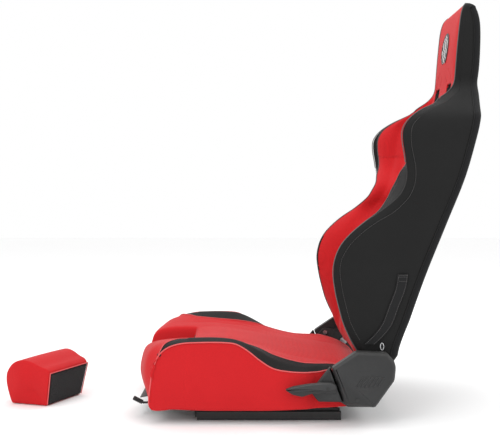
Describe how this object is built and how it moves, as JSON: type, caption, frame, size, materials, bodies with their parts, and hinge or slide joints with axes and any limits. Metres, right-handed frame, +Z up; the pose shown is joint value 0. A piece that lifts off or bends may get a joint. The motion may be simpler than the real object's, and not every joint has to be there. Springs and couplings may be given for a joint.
{
  "type": "racing seat",
  "caption": "Reclining sports seat on slide rails with side wings, harness slots, a recline handle and a lift-out thigh insert at the front of its cushion.",
  "frame": {"origin": "centre of the four floor bolt holes, on the plane that the rails stand on", "axes": "+Z up, -X the way the seat faces, -Y the seat's left side, where the recline handle is"},
  "size_m": [1.1907, 0.5871, 1.006],
  "materials": {
    "rail_steel": "satin black e-coat",
    "glide_nylon": "natural nylon",
    "frame_steel": "semi-gloss black powder coat",
    "zinc_steel": "bright zinc plated",
    "spring_steel": "blued spring steel",
    "cover_plastic": "fine-grain moulded plastic",
    "red_fabric": "fine red velour-faced weave over foam",
    "black_fabric": "black tricot weave over foam",
    "shell_fabric": "black vinyl-backed cover over a stiff back board",
    "webbing": "black polyester webbing",
    "tape": "black hook and loop tape",
    "rubber": "matte black rubber",
    "patch": null
  },
  "bodies": {
    "rails": {"lower_rail_left": "rail_steel", "lower_rail_right": "rail_steel", "rail_end_stops": "rail_steel"},
    "carriage": {"upper_rail_left": "rail_steel", "upper_rail_right": "rail_steel", "glide_pads": "glide_nylon", "rail_spacers": "frame_steel", "rail_bolts": "zinc_steel", "base_frame": "frame_steel", "seat_pan": "frame_steel", "recliner_plate_left": "frame_steel", "recliner_plate_right": "frame_steel", "outer_plate_left": "frame_steel", "outer_plate_right": "frame_steel", "plate_spacers": "zinc_steel", "pivot_bolts": "zinc_steel", "pawl_pins": "zinc_steel", "clock_spring_left": "spring_steel", "clock_spring_right": "spring_steel", "recliner_cover_left": "cover_plastic", "recliner_cover_right": "cover_plastic", "front_trim_left": "cover_plastic", "front_trim_right": "cover_plastic", "cover_screws": "zinc_steel", "cushion_centre": "red_fabric", "thigh_bolster_left": "red_fabric", "thigh_bolster_right": "red_fabric", "insert_ramp": "black_fabric", "hook_panel": "tape"},
    "recline_lever": {"recline_handle": "cover_plastic", "handle_screw": "zinc_steel", "release_shaft": "zinc_steel", "release_cams": "zinc_steel", "shaft_retainers": "zinc_steel"},
    "pawl_left_body": {"pawl_left": "zinc_steel"},
    "pawl_right_body": {"pawl_right": "zinc_steel"},
    "slide_release": {"slide_release_bar": "zinc_steel", "slide_release_grip": "rubber", "slide_locks": "zinc_steel"},
    "backrest": {"recliner_arm_left": "frame_steel", "recliner_arm_right": "frame_steel", "back_frame": "frame_steel", "back_springs": "spring_steel", "back_cushion": "red_fabric", "back_wing_left": "black_fabric", "back_wing_right": "black_fabric", "headrest": "red_fabric", "back_shell": "shell_fabric", "harness_slot_liners": "cover_plastic", "side_strap_left": "webbing", "side_strap_right": "webbing", "strap_rings": "zinc_steel", "emblem_patch": "patch"},
    "insert_foot_body": {"insert_foot": "rubber"},
    "insert": {"insert_pad": "red_fabric", "insert_loop_panel": "tape"}
  },
  "joints": [
    {"name": "seat_slide", "type": "slide", "parent": "rails", "child": "carriage", "axis": [1, 0, 0], "range_m": [-0.1, 0.1]},
    {"name": "recline", "type": "hinge", "parent": "carriage", "child": "backrest", "pos_m": [0.225, 0, 0.108], "axis": [0, 1, 0], "range_deg": [-40, 50]},
    {"name": "recline_handle_turn", "type": "hinge", "parent": "carriage", "child": "recline_lever", "pos_m": [0.133, 0, 0.09], "axis": [0, 1, 0], "range_deg": [0, 25], "stiffness_Nm_per_rad": 1.5, "springref_deg": -6.88},
    {"name": "pawl_left_turn", "type": "hinge", "parent": "carriage", "child": "pawl_left_body", "pos_m": [0.172, -0.259, 0.132], "axis": [0, 1, 0], "range_deg": [0, 10.5]},
    {"name": "pawl_right_turn", "type": "hinge", "parent": "carriage", "child": "pawl_right_body", "pos_m": [0.172, 0.259, 0.132], "axis": [0, 1, 0], "range_deg": [0, 10.5]},
    {"name": "slide_release_turn", "type": "hinge", "parent": "carriage", "child": "slide_release", "pos_m": [-0.1, 0, 0.035], "axis": [0, 1, 0], "range_deg": [0, 4], "stiffness_Nm_per_rad": 3, "springref_deg": -5.73},
    {"name": "insert_travel", "type": "slide", "parent": "carriage", "child": "insert_foot_body", "axis": [0.9689, 0, 0.2476], "range_m": [0, 0.323]},
    {"name": "insert_turn", "type": "hinge", "parent": "insert_foot_body", "child": "insert", "pos_m": [-0.57, 0, 0], "axis": [0, 0, 1], "range_deg": [0, 24.5]}
  ],
  "couplings": [
    {"joint": "pawl_left_turn", "follows": "recline_handle_turn", "ratio": 0.4},
    {"joint": "pawl_right_turn", "follows": "recline_handle_turn", "ratio": 0.4},
    {"joint": "insert_turn", "follows": "insert_travel", "rad_per_m": 1.3236}
  ]
}
